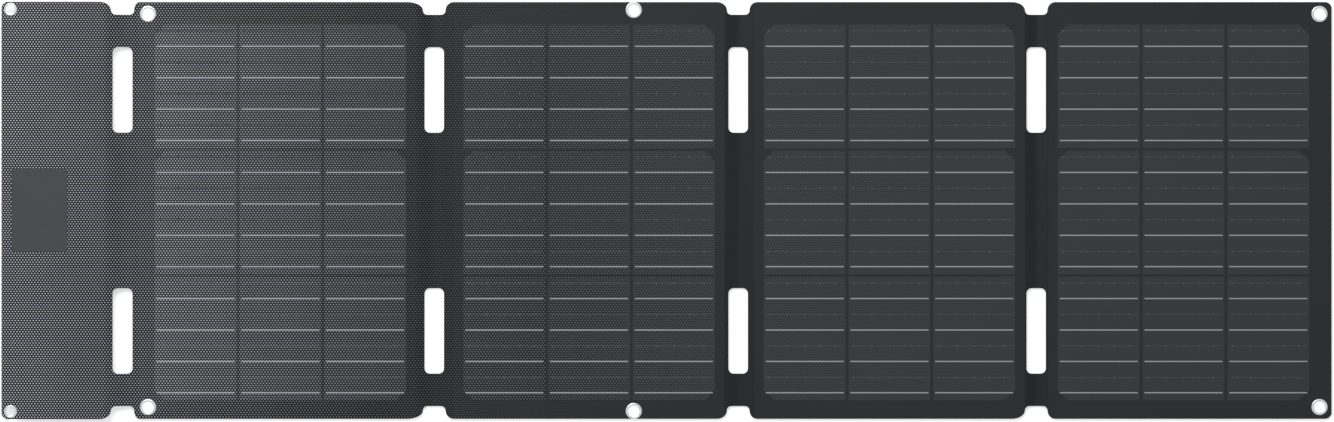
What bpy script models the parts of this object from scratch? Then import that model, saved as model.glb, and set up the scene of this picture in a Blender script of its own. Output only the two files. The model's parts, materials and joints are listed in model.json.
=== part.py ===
"""Folding solar blanket: four stiff panels of solar cells and a controller flap, joined by flexible folds.

Metres, +Z up. The blanket lies flat with its cells up, its length along X and its width along Y. The
origin is under the middle of it, on the surface that it lies on. It folds up as a roll: the last panel
onto the third, those two onto the second, those three onto the first, and the flap over them all.
"""

import math

import bmesh
import bpy
from mathutils import Matrix, Vector

# solar cells: each half wafer is cut in three, and three rows of thirds fill a panel
CELL_LENGTH = 0.0592
CELL_WIDTH = 0.0894
CELL_THICKNESS = 0.00025
CELL_CHAMFER = 0.0075
COLUMNS = 3
ROWS = 3
COLUMN_GAP = 0.0020
ROW_GAP = 0.00165
LINK_WIDTH = 0.0010
LINK_PITCH = 0.0227
LINK_START = 0.0158
LINKS = 4

# bare film round the cells: above and below them, and before and after them on each panel
TOP_MARGIN = 0.0162
BOTTOM_MARGIN = 0.0133
LEFT_MARGINS = (0.0230, 0.0210, 0.0184, 0.0155)
RIGHT_MARGINS = (0.0202, 0.0169, 0.0152, 0.0163)
FLAP_LENGTH = 0.0871
END_RADIUS = 0.0048

# layers of a panel, from the back to the front, with a gap between touching layers
FABRIC = 0.0005
BOARD = 0.0012
FILM = 0.00035
GAP = 0.0003
BOARD_INSET = 0.0020
EDGE_TUCK = 0.0010

# folds: flexible stretches with two lashing slots each, and a notch at both edges of the blanket
FOLD_NAMES = ("flap_fold", "fold_1_2", "fold_2_3", "fold_3_4")
SLOT_WIDTH = 0.0141
SLOT_LENGTH = 0.0617
SLOT_RADIUS = 0.0038
SLOT_CENTRE = 0.0870
SLOT_RAILS = ((0.00545, 0.00345), (0.00615, 0.00695), (0.00285, 0.00435), (0.00115, 0.00145))
NOTCH_HALF = 0.0082
NOTCH_DEPTH = 0.0092
NOTCH_FILLET = 0.0032
SHOULDERS = ((0.0079, 0.0038), (0.0111, 0.0062), (0.0070, 0.0055), (0.0092, 0.0055))
RIBBON_WIDTH = 0.0120
RIBBON_THICKNESS = 0.0002
FOLDED_SPACE = 0.0028

# eyelets: bore, barrel and flange radii, and their places
EYELET = (0.0040, 0.0049, 0.0058)
SMALL_EYELET = (0.0032, 0.0038, 0.0046)
EYELET_PROUD = 0.00025
FLAP_EYELET_INSET = (0.0067, 0.0055)
FIRST_EYELET_INSET = (0.0182, 0.0085)
MIDDLE_EYELET_INSET = (0.1441, 0.0057)
LAST_EYELET_INSET = (0.0089, 0.0086)

# label patch on the flap
PATCH_LENGTH = 0.0400
PATCH_WIDTH = 0.0600
PATCH_THICKNESS = 0.00025
PATCH_INSET = 0.0077
PATCH_GAP = 0.0002
PATCH_RADIUS = 0.0015

# charge controller under the flap
HOUSING_LENGTH = 0.0560
HOUSING_WIDTH = 0.0920
HOUSING_HEIGHT = 0.0083
HOUSING_INSET = 0.0062
HOUSING_RADIUS = 0.0050
HOUSING_WALL = 0.0014
HOUSING_FLOOR = 0.0009
LID_THICKNESS = 0.0010
SCREW_INSET = 0.0065
SCREW_RADIUS = 0.0010
SCREW_LENGTH = 0.0048
SCREW_HEAD = 0.0020
SCREW_HEAD_HEIGHT = 0.0006
SCREW_RECESS = 0.0001
BOSS_WALL = 0.0011
PAD_HEIGHT = 0.0018
CIRCUIT_THICKNESS = 0.0008
CIRCUIT_HEIGHT = 0.0030
CIRCUIT_CORNER = 0.0100
USB_A = (0.0140, 0.0131, 0.0052)
USB_A_PLACE = 0.0150
USB_C = (0.0080, 0.0089, 0.0032)
USB_C_PLACE = -0.0150
SOCKET_WALL = 0.0004
TONGUE_WALL = 0.0009
TONGUE_SETBACK = 0.0010
SOCKET_BACK = 0.0015
INDUCTOR = (0.0100, 0.0100, 0.0024)
CHIP = (0.0070, 0.0070, 0.0011)
COVER_WIDTH = 0.0560
COVER_HEIGHT = 0.0062
COVER_THICKNESS = 0.0015
COVER_TAB = (0.0120, 0.0012)
COVER_AXIS_HEIGHT = 0.0010

CIRCLE_STEPS = 24
SMALL_STEPS = 16
ARC_STEPS = 5
FIELD_LENGTH = COLUMNS * CELL_LENGTH + (COLUMNS - 1) * COLUMN_GAP
FIELD_WIDTH = ROWS * CELL_WIDTH + (ROWS - 1) * ROW_GAP
PANEL_LENGTHS = [left + FIELD_LENGTH + right for left, right in zip(LEFT_MARGINS, RIGHT_MARGINS)]
LENGTH = FLAP_LENGTH + sum(PANEL_LENGTHS)
WIDTH = TOP_MARGIN + FIELD_WIDTH + BOTTOM_MARGIN
FOLDS = [-LENGTH / 2 + FLAP_LENGTH + sum(PANEL_LENGTHS[:n]) for n in range(4)]
REACHES = [(SLOT_WIDTH / 2 + left, SLOT_WIDTH / 2 + right) for left, right in SLOT_RAILS]
PANEL_THICKNESS = FABRIC + BOARD + CELL_THICKNESS + FILM + 3 * GAP
FLAP_THICKNESS = FABRIC + BOARD + FILM + 2 * GAP
FLAP_TOP = HOUSING_HEIGHT + FLAP_THICKNESS

# where each hinge's empty stands
PIVOTS = {}


def clear_scene():
    for old in list(bpy.data.objects):
        bpy.data.objects.remove(old)


def material(name, colour, roughness, metallic=0.0):
    made = bpy.data.materials.new(name)
    made.use_nodes = True
    shader = made.node_tree.nodes["Principled BSDF"]
    shader.inputs["Base Color"].default_value = (*colour, 1.0)
    shader.inputs["Roughness"].default_value = roughness
    shader.inputs["Metallic"].default_value = metallic
    return made


def hinge_empty(name, pivot, parent=None):
    """An empty on a hinge's axis, which the moving piece and all that hangs on it follow."""
    empty = bpy.data.objects.new(name, None)
    bpy.context.collection.objects.link(empty)
    empty.location = pivot
    if parent is not None:
        empty.parent = parent
        empty.location = pivot - PIVOTS[parent.name]
    PIVOTS[name] = pivot
    return empty


def placed(name, mesh, finish, hinge=None):
    """An object from a bmesh that is built in its final place, parented to its hinge if it moves."""
    data = bpy.data.meshes.new(name)
    bmesh.ops.recalc_face_normals(mesh, faces=mesh.faces)
    mesh.to_mesh(data)
    mesh.free()
    made = bpy.data.objects.new(name, data)
    bpy.context.collection.objects.link(made)
    if finish is not None:
        data.materials.append(finish)
    if hinge is not None:
        made.parent = hinge
        made.location = -PIVOTS[hinge.name]
    return made


def cutter(name, mesh):
    made = placed(name, mesh, None)
    made.hide_render = True
    made.display_type = "WIRE"
    return made


def cut(target, *tools):
    for tool in tools:
        change = target.modifiers.new(tool.name, "BOOLEAN")
        change.operation = "DIFFERENCE"
        change.solver = "EXACT"
        change.object = tool


def join(target, *tools):
    for tool in tools:
        change = target.modifiers.new(tool.name, "BOOLEAN")
        change.operation = "UNION"
        change.solver = "EXACT"
        change.object = tool


def add_plate(mesh, outline, low, high):
    """A flat plate with the given outline, anticlockwise, between two heights."""
    corners = [mesh.verts.new((x, y, low)) for x, y in outline]
    face = mesh.faces.new(corners)
    raised = bmesh.ops.extrude_face_region(mesh, geom=[face])
    moved = [item for item in raised["geom"] if isinstance(item, bmesh.types.BMVert)]
    bmesh.ops.translate(mesh, verts=moved, vec=(0, 0, high - low))


def add_box(mesh, low, high, radius=0.0):
    """A box between two corners, with its upright edges rounded."""
    size = Vector(high) - Vector(low)
    middle = (Vector(high) + Vector(low)) / 2
    place = Matrix.Translation(middle) @ Matrix.Diagonal((*size, 1))
    made = bmesh.ops.create_cube(mesh, size=1, matrix=place)
    if radius > 0:
        upright = [
            edge
            for edge in {edge for vert in made["verts"] for edge in vert.link_edges}
            if abs(edge.verts[0].co.z - edge.verts[1].co.z) > size.z / 2
        ]
        upright.sort(key=lambda edge: (edge.verts[0].co.x, edge.verts[0].co.y))
        bmesh.ops.bevel(
            mesh,
            geom=upright,
            offset=radius,
            segments=ARC_STEPS,
            profile=0.5,
            affect="EDGES",
            material=-1,
        )


def add_cylinder(mesh, x, y, low, high, radius, steps=CIRCLE_STEPS):
    bmesh.ops.create_cone(
        mesh,
        cap_ends=True,
        segments=steps,
        radius1=radius,
        radius2=radius,
        depth=high - low,
        matrix=Matrix.Translation((x, y, (low + high) / 2)),
    )


def box_object(name, low, high, finish, hinge=None, radius=0.0):
    mesh = bmesh.new()
    add_box(mesh, low, high, radius)
    return placed(name, mesh, finish, hinge)


# ---- the outline of the whole blanket ----


def quarter(centre, across, up, start, end):
    """Points on a quarter of an ellipse about a centre, between two angles in degrees."""
    angles = [math.radians(start + (end - start) * n / ARC_STEPS) for n in range(ARC_STEPS + 1)]
    return [(centre[0] + across * math.cos(a), centre[1] + up * math.sin(a)) for a in angles]


def upper_edge():
    """The blanket's upper edge from left to right: round ends, and a notch at each fold."""
    top = WIDTH / 2
    floor = top - NOTCH_DEPTH
    fillet = NOTCH_FILLET
    fall = NOTCH_DEPTH - fillet
    points = quarter((-LENGTH / 2 + END_RADIUS, top - END_RADIUS), END_RADIUS, END_RADIUS, 180, 90)
    for fold, (before, after) in zip(FOLDS, SHOULDERS):
        left = fold - NOTCH_HALF
        right = fold + NOTCH_HALF
        points += quarter((left - before, floor + fillet), before, fall, 90, 0)
        points += quarter((left + fillet, floor + fillet), fillet, fillet, 180, 270)[1:]
        points += quarter((right - fillet, floor + fillet), fillet, fillet, 270, 360)
        points += quarter((right + after, floor + fillet), after, fall, 180, 90)[1:]
    points += quarter((LENGTH / 2 - END_RADIUS, top - END_RADIUS), END_RADIUS, END_RADIUS, 90, 0)
    return points


def height_at(points, x):
    for (x0, y0), (x1, y1) in zip(points, points[1:]):
        if x0 <= x <= x1 and x1 > x0:
            return y0 + (y1 - y0) * (x - x0) / (x1 - x0)
    return points[0][1] if x < points[0][0] else points[-1][1]


def stretch_outline(start, end, inset=0.0):
    """The outline of the blanket between two places along it, anticlockwise, with its long edges inset."""
    edge = upper_edge()
    inside = [(x, y) for x, y in edge if start < x < end]
    upper = [(start, height_at(edge, start)), *inside, (end, height_at(edge, end))]
    upper = [(x, y - inset) for x, y in upper]
    return [(x, -y) for x, y in upper] + upper[::-1]


def stretch(name, start, end, low, high, finish, hinge=None, inset=0.0):
    mesh = bmesh.new()
    add_plate(mesh, stretch_outline(start, end, inset), low, high)
    return placed(name, mesh, finish, hinge)


# ---- cutters that several layers share ----


def eyelet_places():
    """Each eyelet's name, the body that it rides with, its place, its radii and its layers' base."""
    top = WIDTH / 2
    found = []
    for side, name in ((1, "top"), (-1, "bottom")):
        end, edge = FLAP_EYELET_INSET
        found.append((f"flap_eyelet_{name}", 0, -LENGTH / 2 + end, side * (top - edge), SMALL_EYELET))
        end, edge = FIRST_EYELET_INSET
        found.append((f"first_eyelet_{name}", 1, FOLDS[0] + end, side * (top - edge), EYELET))
        end, edge = MIDDLE_EYELET_INSET
        found.append((f"middle_eyelet_{name}", 2, FOLDS[1] + end, side * (top - edge), EYELET))
        end, edge = LAST_EYELET_INSET
        found.append((f"last_eyelet_{name}", 4, LENGTH / 2 - end, side * (top - edge), EYELET))
    return found


def eyelet_cutter(name, ring):
    """Upright holes at every eyelet: ring 1 clears the barrels, ring 2 clears the flanges."""
    mesh = bmesh.new()
    for _, _, x, y, radii in eyelet_places():
        add_cylinder(mesh, x, y, -HOUSING_HEIGHT, 2 * FLAP_TOP, radii[ring] + GAP)
    return cutter(name, mesh)


def slot_cutter():
    mesh = bmesh.new()
    half = Vector((SLOT_WIDTH / 2, SLOT_LENGTH / 2, 0))
    reach = Vector((0, 0, 2 * FLAP_TOP))
    for fold in FOLDS:
        for side in (1, -1):
            middle = Vector((fold, side * SLOT_CENTRE, 0))
            add_box(mesh, middle - half - reach, middle + half + reach, SLOT_RADIUS)
    return cutter("slot_cutter", mesh)


# ---- panels ----


def field_corner(panel):
    """The lower left corner of a panel's cells."""
    return FOLDS[panel] + LEFT_MARGINS[panel], -WIDTH / 2 + BOTTOM_MARGIN


def row_outline(left, low, chamfer_top):
    """The outline of a row of cells. Both outer corners of one side are cut off, as on the wafer."""
    right = left + FIELD_LENGTH
    high = low + CELL_WIDTH
    cut_off = CELL_CHAMFER
    if chamfer_top:
        return [
            (left, low),
            (right, low),
            (right, high - cut_off),
            (right - cut_off, high),
            (left + cut_off, high),
            (left, high - cut_off),
        ]
    return [
        (left, low + cut_off),
        (left + cut_off, low),
        (right - cut_off, low),
        (right, low + cut_off),
        (right, high),
        (left, high),
    ]


def column_gap_cutter(name, left, low, below, above):
    """Cuts a row of cells into its thirds, and leaves the links that join their backs."""
    mesh = bmesh.new()
    starts = [-GAP] + [LINK_START + n * LINK_PITCH + LINK_WIDTH for n in range(LINKS)]
    ends = [LINK_START + n * LINK_PITCH for n in range(LINKS)] + [CELL_WIDTH + GAP]
    for column in range(1, COLUMNS):
        x = left + column * CELL_LENGTH + (column - 1) * COLUMN_GAP
        for start, end in zip(starts, ends):
            add_box(mesh, (x, low + start, below), (x + COLUMN_GAP, low + end, above))
    return cutter(name, mesh)


def build_panel(panel, hinge, finishes, flange_cutter, barrel_cutter):
    """One panel: back fabric, stiffener board, three rows of cells, and the front film."""
    name = f"panel_{panel + 1}"
    last = panel == 3
    left = FOLDS[panel] + REACHES[panel][1] + GAP / 2
    right = LENGTH / 2 if last else FOLDS[panel + 1] - REACHES[panel + 1][0] - GAP / 2
    fabric = stretch(f"{name}_fabric", left, right, 0, FABRIC, finishes["fabric"], hinge)
    board_low = FABRIC + GAP
    board_right = right - BOARD_INSET if last else right - EDGE_TUCK
    board = stretch(
        f"{name}_board",
        left + EDGE_TUCK,
        board_right,
        board_low,
        board_low + BOARD,
        finishes["board"],
        hinge,
        BOARD_INSET,
    )
    film = stretch(
        f"{name}_film",
        left,
        right,
        PANEL_THICKNESS - FILM,
        PANEL_THICKNESS,
        finishes["film"],
        hinge,
    )
    if panel != 2:
        cut(fabric, flange_cutter)
        cut(film, flange_cutter)
        cut(board, barrel_cutter)
    cell_low = board_low + BOARD + GAP
    cell_high = cell_low + CELL_THICKNESS
    field_left, field_low = field_corner(panel)
    for row, row_name in enumerate(("bottom", "middle", "top")):
        low = field_low + row * (CELL_WIDTH + ROW_GAP)
        mesh = bmesh.new()
        add_plate(mesh, row_outline(field_left, low, row > 0), cell_low, cell_high)
        cells = placed(f"{name}_cells_{row_name}", mesh, finishes["cell"], hinge)
        cut(cells, column_gap_cutter(f"{name}_{row_name}_gaps", field_left, low, 0, FLAP_TOP))


# ---- folds ----


def slope(mesh, start, end, rise):
    """Shears a flat strip so that its start stands higher by rise, as where the flap is propped up."""
    for vert in mesh.verts:
        share = (end - vert.co.x) / (end - start)
        vert.co.z += rise * share


def build_fold(number, hinge, finishes, slots):
    """A flexible fold: the film and the fabric run on across it, with a flat ribbon between them."""
    name = FOLD_NAMES[number]
    start = FOLDS[number] - REACHES[number][0] + GAP / 2
    end = FOLDS[number] + REACHES[number][1] - GAP / 2
    rise = HOUSING_HEIGHT if number == 0 else 0.0
    ribbon_low = FABRIC + GAP
    film_low = ribbon_low + RIBBON_THICKNESS + GAP
    layers = (
        ("fabric", stretch_outline(start, end), 0.0, FABRIC),
        ("film", stretch_outline(start, end), film_low, film_low + FILM),
        (
            "ribbon",
            [
                (start, -RIBBON_WIDTH / 2),
                (end, -RIBBON_WIDTH / 2),
                (end, RIBBON_WIDTH / 2),
                (start, RIBBON_WIDTH / 2),
            ],
            ribbon_low,
            ribbon_low + RIBBON_THICKNESS,
        ),
    )
    for layer, outline, low, high in layers:
        mesh = bmesh.new()
        add_plate(mesh, outline, low, high)
        slope(mesh, start, end, rise)
        made = placed(f"{name}_{layer}", mesh, finishes[layer], hinge)
        if layer != "ribbon":
            cut(made, slots)


# ---- eyelets ----


def build_eyelet(name, x, y, radii, base, thickness, fabric_top, board_top, finish, hinge):
    """A rolled metal eyelet: a barrel through the board, and a flange on each side of it."""
    bore, barrel, flange = radii
    front = base + thickness + EYELET_PROUD
    profile = [
        (bore, base),
        (flange, base),
        (flange, fabric_top),
        (barrel, fabric_top),
        (barrel, board_top + GAP),
        (flange, board_top + GAP),
        (flange, front - EYELET_PROUD),
        (flange - EYELET_PROUD, front),
        (bore + EYELET_PROUD, front),
        (bore, front - EYELET_PROUD),
    ]
    mesh = bmesh.new()
    verts = [mesh.verts.new((x + r, y, z)) for r, z in profile]
    edges = [mesh.edges.new((a, b)) for a, b in zip(verts, verts[1:] + verts[:1])]
    bmesh.ops.spin(
        mesh,
        geom=verts + edges,
        cent=(x, y, 0),
        axis=(0, 0, 1),
        angle=math.tau,
        steps=CIRCLE_STEPS,
        use_merge=True,
    )
    bmesh.ops.remove_doubles(mesh, verts=mesh.verts, dist=1e-6)
    made = placed(name, mesh, finish, hinge)
    made.data.shade_smooth()
    made.data.set_sharp_from_angle(angle=math.radians(40))


# ---- the flap ----


def build_flap(hinge, finishes, flange_cutter, barrel_cutter):
    start = -LENGTH / 2
    end = FOLDS[0] - REACHES[0][0] - GAP / 2
    low = HOUSING_HEIGHT
    fabric = stretch("flap_fabric", start, end, low, low + FABRIC, finishes["fabric"], hinge)
    board_low = low + FABRIC + GAP
    board = stretch(
        "flap_board",
        start + BOARD_INSET,
        end - EDGE_TUCK,
        board_low,
        board_low + BOARD,
        finishes["board"],
        hinge,
        BOARD_INSET,
    )
    film = stretch("flap_film", start, end, FLAP_TOP - FILM, FLAP_TOP, finishes["film"], hinge)
    cut(fabric, flange_cutter)
    cut(board, barrel_cutter)
    cut(film, flange_cutter)
    left = start + PATCH_INSET
    box_object(
        "flap_patch",
        (left, -PATCH_WIDTH / 2, FLAP_TOP + PATCH_GAP),
        (left + PATCH_LENGTH, PATCH_WIDTH / 2, FLAP_TOP + PATCH_GAP + PATCH_THICKNESS),
        finishes["patch"],
        hinge,
        PATCH_RADIUS,
    )


# ---- the charge controller ----

HOUSING_LEFT = -LENGTH / 2 + HOUSING_INSET
HOUSING_RIGHT = HOUSING_LEFT + HOUSING_LENGTH
LID_TOP = HOUSING_HEIGHT - GAP
LID_LOW = LID_TOP - LID_THICKNESS
HOUSING_TOP = LID_LOW - GAP
SOCKET_LOW = HOUSING_FLOOR + GAP


def screw_places():
    """The four corners' screws: upper and lower, left and right."""
    found = []
    for x in (HOUSING_LEFT + SCREW_INSET, HOUSING_RIGHT - SCREW_INSET):
        for y in (HOUSING_WIDTH / 2 - SCREW_INSET, -HOUSING_WIDTH / 2 + SCREW_INSET):
            found.append((x, y))
    return found


def socket_box(size, place, margin=0.0):
    """The corners of a socket's box behind the left wall, or of the wall's window for it."""
    depth, width, height = size
    middle = (SOCKET_LOW + HOUSING_TOP) / 2
    left = HOUSING_LEFT + HOUSING_WALL + GAP
    low = Vector((left, place - width / 2 - margin, middle - height / 2 - margin))
    high = Vector((left + depth, place + width / 2 + margin, middle + height / 2 + margin))
    return low, high


def build_housing(hinge, finishes):
    half = HOUSING_WIDTH / 2
    housing = box_object(
        "controller_housing",
        (HOUSING_LEFT, -half, 0),
        (HOUSING_RIGHT, half, HOUSING_TOP),
        finishes["housing"],
        hinge,
        HOUSING_RADIUS,
    )
    mesh = bmesh.new()
    wall = HOUSING_WALL
    add_box(
        mesh,
        (HOUSING_LEFT + wall, -half + wall, HOUSING_FLOOR),
        (HOUSING_RIGHT - wall, half - wall, 2 * HOUSING_HEIGHT),
        HOUSING_RADIUS - wall,
    )
    hollow = cutter("housing_hollow", mesh)
    mesh = bmesh.new()
    for x, y in screw_places():
        radius = SCREW_HEAD + GAP + BOSS_WALL
        add_cylinder(mesh, x, y, HOUSING_FLOOR / 2, PAD_HEIGHT, radius, SMALL_STEPS)
    pads = cutter("housing_pads", mesh)
    mesh = bmesh.new()
    for x, y in screw_places():
        recess = SCREW_RECESS + SCREW_HEAD_HEIGHT + GAP
        add_cylinder(mesh, x, y, -GAP, recess, SCREW_HEAD + GAP, SMALL_STEPS)
    recesses = cutter("housing_head_recesses", mesh)
    mesh = bmesh.new()
    for x, y in screw_places():
        add_cylinder(mesh, x, y, -GAP, HOUSING_HEIGHT, SCREW_RADIUS + GAP, SMALL_STEPS)
    holes = cutter("housing_screw_holes", mesh)
    mesh = bmesh.new()
    for size, place in ((USB_A, USB_A_PLACE), (USB_C, USB_C_PLACE)):
        low, high = socket_box(size, place)
        low.x = HOUSING_LEFT - GAP
        add_box(mesh, low, high)
    windows = cutter("housing_windows", mesh)
    cut(housing, hollow)
    join(housing, pads)
    cut(housing, recesses, holes, windows)


def build_lid(hinge, finishes):
    """The lid is glued to the flap's back. Its four bosses reach down to the housing's screws."""
    half = HOUSING_WIDTH / 2
    lid = box_object(
        "controller_lid",
        (HOUSING_LEFT, -half, LID_LOW),
        (HOUSING_RIGHT, half, LID_TOP),
        finishes["housing"],
        hinge,
        HOUSING_RADIUS,
    )
    mesh = bmesh.new()
    bore = bmesh.new()
    for x, y in screw_places():
        radius = SCREW_RADIUS + GAP + BOSS_WALL
        add_cylinder(mesh, x, y, PAD_HEIGHT + GAP, LID_LOW + LID_THICKNESS / 2, radius, SMALL_STEPS)
        top = SCREW_RECESS + SCREW_HEAD_HEIGHT + SCREW_LENGTH + GAP
        add_cylinder(bore, x, y, 0, top, SCREW_RADIUS + GAP, SMALL_STEPS)
    join(lid, cutter("lid_bosses", mesh))
    cut(lid, cutter("lid_bores", bore))


def build_screws(hinge, finishes):
    for number, (x, y) in enumerate(screw_places(), start=1):
        head_top = SCREW_RECESS + SCREW_HEAD_HEIGHT
        profile = [
            (0, SCREW_RECESS),
            (SCREW_HEAD, SCREW_RECESS),
            (SCREW_HEAD, head_top),
            (SCREW_RADIUS, head_top),
            (SCREW_RADIUS, head_top + SCREW_LENGTH),
            (0, head_top + SCREW_LENGTH),
        ]
        mesh = bmesh.new()
        verts = [mesh.verts.new((x + r, y, z)) for r, z in profile]
        edges = [mesh.edges.new((a, b)) for a, b in zip(verts, verts[1:])]
        bmesh.ops.spin(
            mesh,
            geom=verts + edges,
            cent=(x, y, 0),
            axis=(0, 0, 1),
            angle=math.tau,
            steps=CIRCLE_STEPS,
            use_merge=True,
        )
        bmesh.ops.remove_doubles(mesh, verts=mesh.verts, dist=1e-6)
        made = placed(f"housing_screw_{number}", mesh, finishes["steel"], hinge)
        made.data.shade_smooth()
        made.data.set_sharp_from_angle(angle=math.radians(40))


def build_circuit(hinge, finishes):
    """The circuit board stands clear of the corner bosses, with notches where the sockets sink into it."""
    low, high = CIRCUIT_HEIGHT, CIRCUIT_HEIGHT + CIRCUIT_THICKNESS
    left = HOUSING_LEFT + HOUSING_WALL + GAP
    right = HOUSING_RIGHT - HOUSING_WALL - GAP
    half = HOUSING_WIDTH / 2 - HOUSING_WALL - GAP
    board = box_object(
        "controller_board",
        (left, -half, low),
        (right, half, high),
        finishes["circuit"],
        hinge,
    )
    mesh = bmesh.new()
    for x, y in screw_places():
        add_box(
            mesh,
            (x - CIRCUIT_CORNER / 2, y - CIRCUIT_CORNER / 2, 0),
            (x + CIRCUIT_CORNER / 2, y + CIRCUIT_CORNER / 2, HOUSING_HEIGHT),
        )
    corners = cutter("circuit_corners", mesh)
    mesh = bmesh.new()
    for size, place in ((USB_A, USB_A_PLACE), (USB_C, USB_C_PLACE)):
        box_low, box_high = socket_box(size, place, GAP)
        box_low -= Vector((SOCKET_BACK, 0, HOUSING_HEIGHT))
        box_high += Vector((0, 0, HOUSING_HEIGHT))
        add_box(mesh, box_low, box_high)
    cut(board, corners, cutter("circuit_notches", mesh))
    middle = (left + right) / 2 + CIRCUIT_CORNER / 2
    for name, size, y, finish in (
        ("power_inductor", INDUCTOR, USB_A_PLACE, "ferrite"),
        ("converter_chip", CHIP, 0.0, "chip"),
    ):
        box_object(
            name,
            (middle - size[0] / 2, y - size[1] / 2, high + GAP),
            (middle + size[0] / 2, y + size[1] / 2, high + GAP + size[2]),
            finishes[finish],
            hinge,
        )


def build_socket(name, size, place, hinge, finishes):
    """A socket: a drawn metal shell, closed at its back, with the contact tongue in its mouth."""
    low, high = socket_box(size, place)
    shell = box_object(name, low, high, finishes["steel"], hinge)
    wall = Vector((0, SOCKET_WALL, SOCKET_WALL))
    mesh = bmesh.new()
    add_box(mesh, low + wall - Vector((GAP, 0, 0)), high - wall - Vector((SOCKET_BACK, 0, 0)))
    mouth = cutter(f"{name}_mouth", mesh)
    mesh = bmesh.new()
    side = Vector((0, SOCKET_WALL + TONGUE_WALL, (high.z - low.z) / 2 - TONGUE_WALL / 2))
    add_box(mesh, low + side + Vector((TONGUE_SETBACK, 0, 0)), high - side - Vector((SOCKET_WALL, 0, 0)))
    tongue = cutter(f"{name}_tongue", mesh)
    cut(shell, mouth)
    join(shell, tongue)


def build_port_cover(hinge, finishes):
    """A rubber cover over both sockets. It swings down and out about its rounded lower edge."""
    pivot = PIVOTS[hinge.name]
    half = COVER_WIDTH / 2
    mesh = bmesh.new()
    radius = COVER_THICKNESS / 2
    steps = 2 * ARC_STEPS
    angles = [math.pi + math.pi * n / steps for n in range(steps + 1)]
    outline = [(pivot.x + radius * math.cos(a), pivot.z + radius * math.sin(a)) for a in angles]
    outline += [(pivot.x + radius, pivot.z + COVER_HEIGHT - radius)]
    outline += [(pivot.x - radius, pivot.z + COVER_HEIGHT - radius)]
    verts = [mesh.verts.new((x, -half, z)) for x, z in outline]
    face = mesh.faces.new(verts)
    raised = bmesh.ops.extrude_face_region(mesh, geom=[face])
    moved = [item for item in raised["geom"] if isinstance(item, bmesh.types.BMVert)]
    bmesh.ops.translate(mesh, verts=moved, vec=(0, COVER_WIDTH, 0))
    cover = placed("port_cover", mesh, finishes["rubber"], hinge)
    mesh = bmesh.new()
    width, depth = COVER_TAB
    top = pivot.z + COVER_HEIGHT - radius
    add_box(
        mesh,
        (pivot.x - radius - depth, -width / 2, top - COVER_THICKNESS),
        (pivot.x, width / 2, top - GAP),
    )
    join(cover, cutter("port_cover_tab", mesh))


# ---- assembly ----


def fold_axis_heights():
    """How high each fold's axis stands, so that the folded panels lie with FOLDED_SPACE between them."""
    step = PANEL_THICKNESS + FOLDED_SPACE
    between = [2 * step, step, 0.0]
    panel_axes = [PANEL_THICKNESS + (gap + FOLDED_SPACE) / 2 for gap in between]
    stack_top = 2 * panel_axes[0]
    flap_axis = (stack_top + FOLDED_SPACE + FLAP_TOP) / 2
    return [flap_axis, *panel_axes]


def main():
    clear_scene()
    finishes = {
        "film": material("embossed_film", (0.035, 0.037, 0.040), 0.35),
        "fabric": material("back_fabric", (0.030, 0.031, 0.034), 0.85),
        "board": material("stiffener_board", (0.55, 0.54, 0.50), 0.6),
        "cell": material("solar_cell", (0.045, 0.047, 0.055), 0.3),
        "ribbon": material("tinned_copper", (0.72, 0.72, 0.70), 0.35, 1.0),
        "steel": material("plated_steel", (0.78, 0.78, 0.78), 0.3, 1.0),
        "patch": material("label_rubber", (0.070, 0.076, 0.082), 0.6),
        "housing": material("housing_plastic", (0.025, 0.026, 0.028), 0.5),
        "circuit": material("circuit_board", (0.02, 0.12, 0.05), 0.5),
        "chip": material("chip_plastic", (0.02, 0.02, 0.02), 0.5),
        "ferrite": material("inductor_ferrite", (0.12, 0.12, 0.125), 0.6),
        "rubber": material("cover_rubber", (0.02, 0.02, 0.021), 0.8),
    }
    heights = fold_axis_heights()
    pivots = [Vector((fold, 0, height)) for fold, height in zip(FOLDS, heights)]
    flap_hinge = hinge_empty("flap_hinge", pivots[0])
    second = hinge_empty("hinge_1_2", pivots[1])
    third = hinge_empty("hinge_2_3", pivots[2], second)
    fourth = hinge_empty("hinge_3_4", pivots[3], third)
    cover_place = Vector((HOUSING_LEFT - GAP - COVER_THICKNESS / 2, 0, COVER_AXIS_HEIGHT))
    cover_hinge = hinge_empty("port_cover_hinge", cover_place, flap_hinge)
    hinges = [flap_hinge, None, second, third, fourth]

    flange_cutter = eyelet_cutter("flange_holes", 2)
    barrel_cutter = eyelet_cutter("barrel_holes", 1)
    slots = slot_cutter()
    build_flap(flap_hinge, finishes, flange_cutter, barrel_cutter)
    for panel in range(4):
        build_panel(panel, hinges[panel + 1], finishes, flange_cutter, barrel_cutter)
    for number, hinge in enumerate((flap_hinge, second, third, fourth)):
        build_fold(number, hinge, finishes, slots)
    for name, body, x, y, radii in eyelet_places():
        base, thickness = (HOUSING_HEIGHT, FLAP_THICKNESS) if body == 0 else (0.0, PANEL_THICKNESS)
        board_top = base + FABRIC + GAP + BOARD
        build_eyelet(
            name, x, y, radii, base, thickness, base + FABRIC, board_top, finishes["steel"], hinges[body]
        )
    build_housing(flap_hinge, finishes)
    build_lid(flap_hinge, finishes)
    build_screws(flap_hinge, finishes)
    build_circuit(flap_hinge, finishes)
    build_socket("usb_a_socket", USB_A, USB_A_PLACE, flap_hinge, finishes)
    build_socket("usb_c_socket", USB_C, USB_C_PLACE, flap_hinge, finishes)
    build_port_cover(cover_hinge, finishes)


main()
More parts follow.
